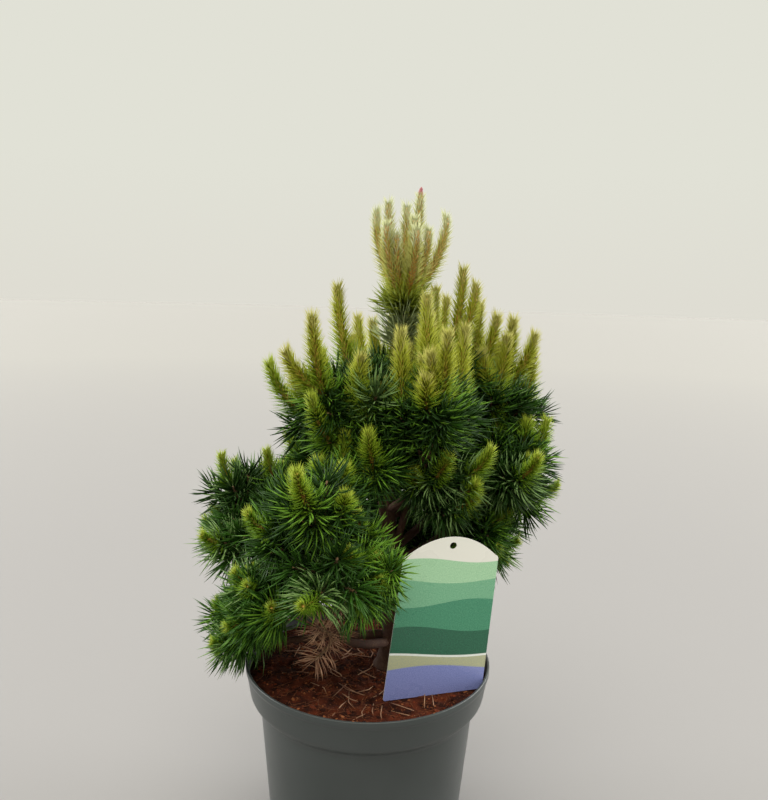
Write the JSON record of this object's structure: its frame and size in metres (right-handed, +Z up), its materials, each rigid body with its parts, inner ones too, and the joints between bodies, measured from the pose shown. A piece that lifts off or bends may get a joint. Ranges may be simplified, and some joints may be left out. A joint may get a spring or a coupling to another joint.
{
  "type": "potted dwarf mountain pine",
  "caption": "Small bushy mountain pine with upright candle shoots, growing in a round grey plastic nursery pot with a plastic plant label in its soil.",
  "frame": {"origin": "centre of the pot's flat underside", "axes": "+Z up along the trunk, +X to the right and -Y towards the viewer when the label is at the front right"},
  "size_m": [0.3888, 0.3665, 0.6951],
  "materials": {
    "pot": "satin grey polypropylene",
    "soil": "moist fibrous potting soil",
    "bark": "rough scaly bark",
    "needles": "slightly waxy green needles",
    "dead_needles": "dry brown needles",
    "plant_label": "thin printed plastic card"
  },
  "bodies": {
    "root": {"pot": "pot", "soil": "soil", "plant_label": "plant_label", "trunk": "bark", "bough_back": "bark", "bough_back_left": "bark", "bough_back_left_low": "bark", "bough_back_low": "bark", "bough_back_right": "bark", "bough_back_right_low": "bark", "bough_dead": "bark", "bough_front": "bark", "bough_front_high": "bark", "bough_front_left": "bark", "bough_front_low": "bark", "bough_front_right": "bark", "bough_left": "bark", "bough_left_high": "bark", "bough_left_low": "bark", "bough_left_lowest": "bark", "bough_right": "bark", "bough_right_high": "bark", "bough_right_low": "bark", "bough_upper_back": "bark", "bough_upper_back_left": "bark", "bough_upper_front": "bark", "bough_upper_left": "bark", "bough_upper_right": "bark", "foliage_back": "needles", "foliage_back_left": "needles", "foliage_back_left_low": "needles", "foliage_back_low": "needles", "foliage_back_right": "needles", "foliage_back_right_low": "needles", "foliage_front": "needles", "foliage_front_high": "needles", "foliage_front_left": "needles", "foliage_front_low": "needles", "foliage_front_right": "needles", "foliage_leader": "needles", "foliage_left": "needles", "foliage_left_high": "needles", "foliage_left_low": "needles", "foliage_left_lowest": "needles", "foliage_right": "needles", "foliage_right_high": "needles", "foliage_right_low": "needles", "foliage_upper_back": "needles", "foliage_upper_back_left": "needles", "foliage_upper_front": "needles", "foliage_upper_left": "needles", "foliage_upper_right": "needles", "foliage_dead": "dead_needles"}
  },
  "joints": []
}
